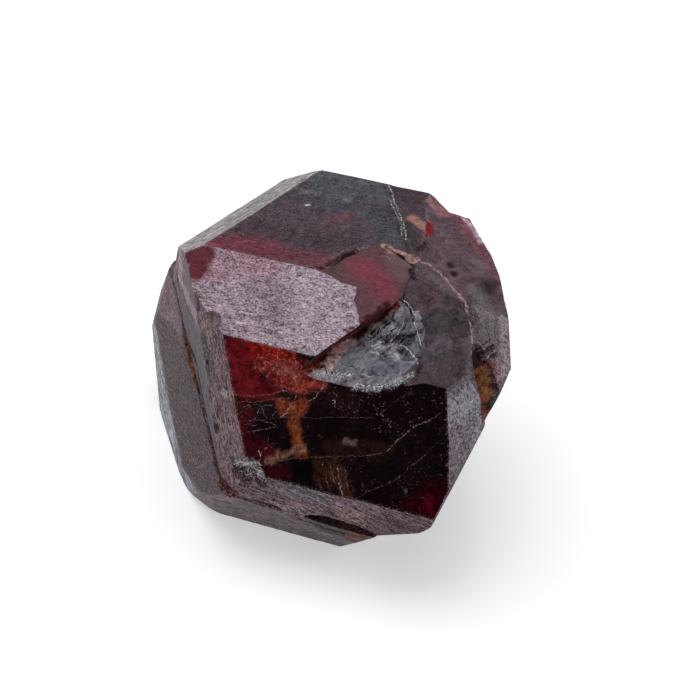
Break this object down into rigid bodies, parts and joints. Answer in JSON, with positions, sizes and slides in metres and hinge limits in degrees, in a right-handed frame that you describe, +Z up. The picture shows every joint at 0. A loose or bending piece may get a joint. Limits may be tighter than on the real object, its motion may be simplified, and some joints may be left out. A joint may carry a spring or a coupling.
{
  "type": "garnet crystal",
  "caption": "Broken dark red garnet crystal with flat growth faces, a seam around it, and shell-shaped fractures.",
  "frame": {"origin": "centre of the bounding box's base, on the surface the crystal rests on", "axes": "+Z up, -Y towards the dark glossy face that reads as the front, +X towards the broken side"},
  "size_m": [0.0398, 0.0436, 0.0283],
  "materials": {
    "garnet": "dark red garnet, glassy on one face and matt, striated or broken elsewhere"
  },
  "bodies": {
    "root": {"garnet_crystal": "garnet"}
  },
  "joints": []
}
